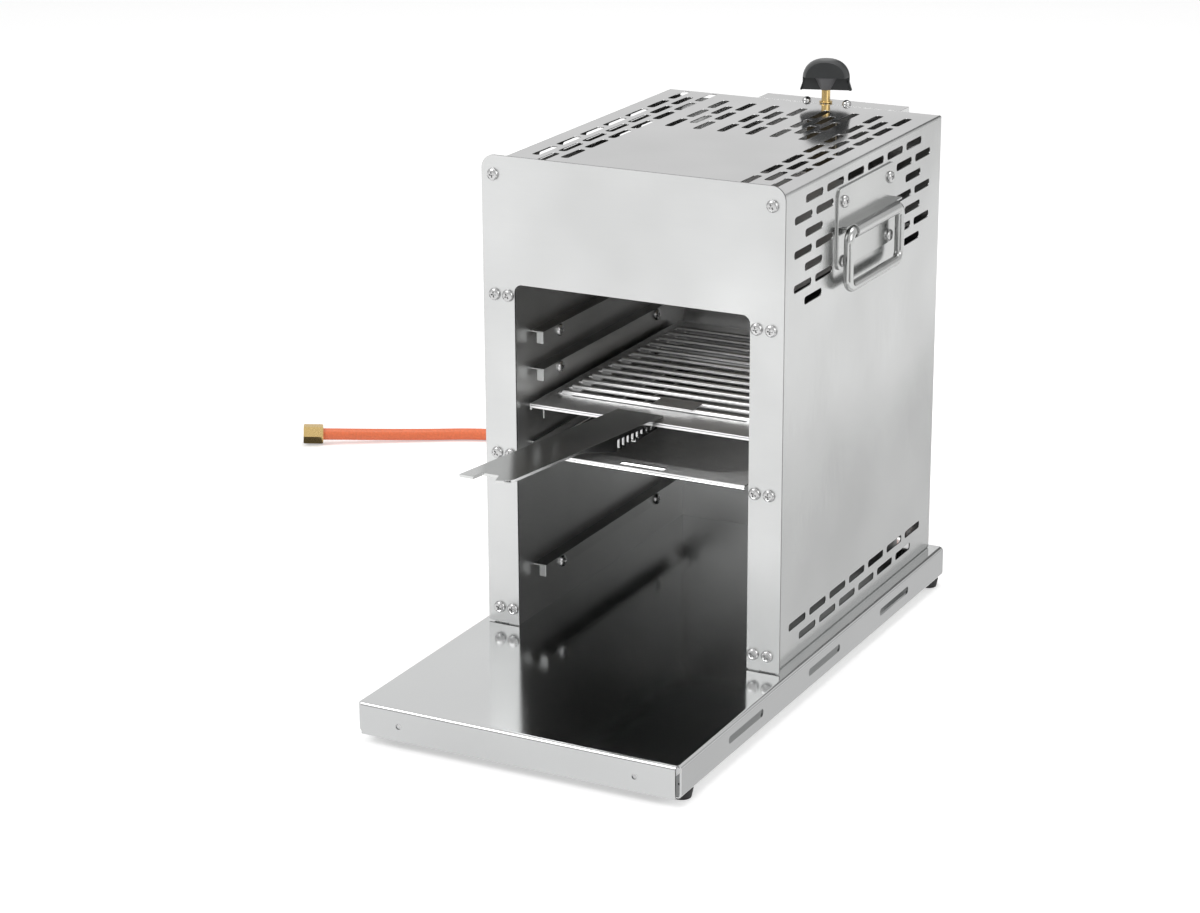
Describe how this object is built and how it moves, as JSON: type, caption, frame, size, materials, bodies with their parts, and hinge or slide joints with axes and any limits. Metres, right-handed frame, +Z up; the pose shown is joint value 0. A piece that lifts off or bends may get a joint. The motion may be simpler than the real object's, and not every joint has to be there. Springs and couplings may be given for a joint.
{
  "type": "cheese melter",
  "caption": "Open-front gas cheese melter with a top burner, railed cooking chamber, sliding grate with lifter, drip pan, folding side handles, long base tray and a short gas hose.",
  "frame": {"origin": "on the ground, midway between the feet's sides and midway along the grill without its hose", "axes": "-Y is the open front, +X is the viewer's right as they face the front, +Z is up"},
  "size_m": [0.6509, 0.6756, 0.409],
  "materials": {
    "stainless": "brushed stainless sheet",
    "bright_steel": "bright steel",
    "dull_steel": "heat-dulled steel",
    "brass": "turned brass",
    "ceramic": "unglazed ceramic",
    "black_rubber": "matt",
    "orange_rubber": "smooth rubber hose",
    "black_plastic": "semi-gloss"
  },
  "bodies": {
    "housing": {"base_tray": "stainless", "rubber_feet": "black_rubber", "outer_shell": "stainless", "front_fascia": "stainless", "fascia_screws": "bright_steel", "rear_panel": "stainless", "inner_wall_left": "stainless", "inner_wall_right": "stainless", "inner_rear_wall": "stainless", "heat_shield": "dull_steel", "ceramic_plaque": "ceramic", "burner_housing": "dull_steel", "mixer_tube": "dull_steel", "gas_injector": "brass", "rail_left_1": "stainless", "rail_left_2": "stainless", "rail_left_3": "stainless", "rail_left_4": "stainless", "rail_left_5": "stainless", "rail_right_1": "stainless", "rail_right_2": "stainless", "rail_right_3": "stainless", "rail_right_4": "stainless", "rail_right_5": "stainless", "handle_plate_left": "stainless", "handle_plate_right": "stainless", "handle_screws": "bright_steel", "valve_body": "brass", "valve_bracket": "stainless", "hose_inlet_fitting": "brass", "gas_hose": "orange_rubber", "hose_end_nut": "brass"},
    "knob": {"valve_spindle": "brass", "control_knob": "black_plastic"},
    "left_bail": {"bail_left": "bright_steel"},
    "right_bail": {"bail_right": "bright_steel"},
    "grate": {"grate_frame": "stainless", "grate_rods": "bright_steel"},
    "lifter": {"lifter": "stainless"},
    "drip_pan": {"drip_pan": "stainless"}
  },
  "joints": [
    {"name": "knob_turn", "type": "hinge", "parent": "housing", "child": "knob", "pos_m": [0.017, 0.242, 0.3855], "axis": [0, 0, 1], "range_deg": [0, 270]},
    {"name": "left_bail_swing", "type": "hinge", "parent": "housing", "child": "left_bail", "pos_m": [-0.1216, 0.0915, 0.329], "axis": [0, 1, 0], "range_deg": [0, 90]},
    {"name": "right_bail_swing", "type": "hinge", "parent": "housing", "child": "right_bail", "pos_m": [0.1216, 0.0915, 0.329], "axis": [0, -1, 0], "range_deg": [0, 90]},
    {"name": "grate_slide", "type": "slide", "parent": "housing", "child": "grate", "axis": [0, -1, 0], "range_m": [0, 0.3]},
    {"name": "lifter_slide", "type": "slide", "parent": "grate", "child": "lifter", "axis": [0, -1, 0], "range_m": [0, 0.08]},
    {"name": "pan_slide", "type": "slide", "parent": "housing", "child": "drip_pan", "axis": [0, -1, 0], "range_m": [0, 0.3]}
  ]
}
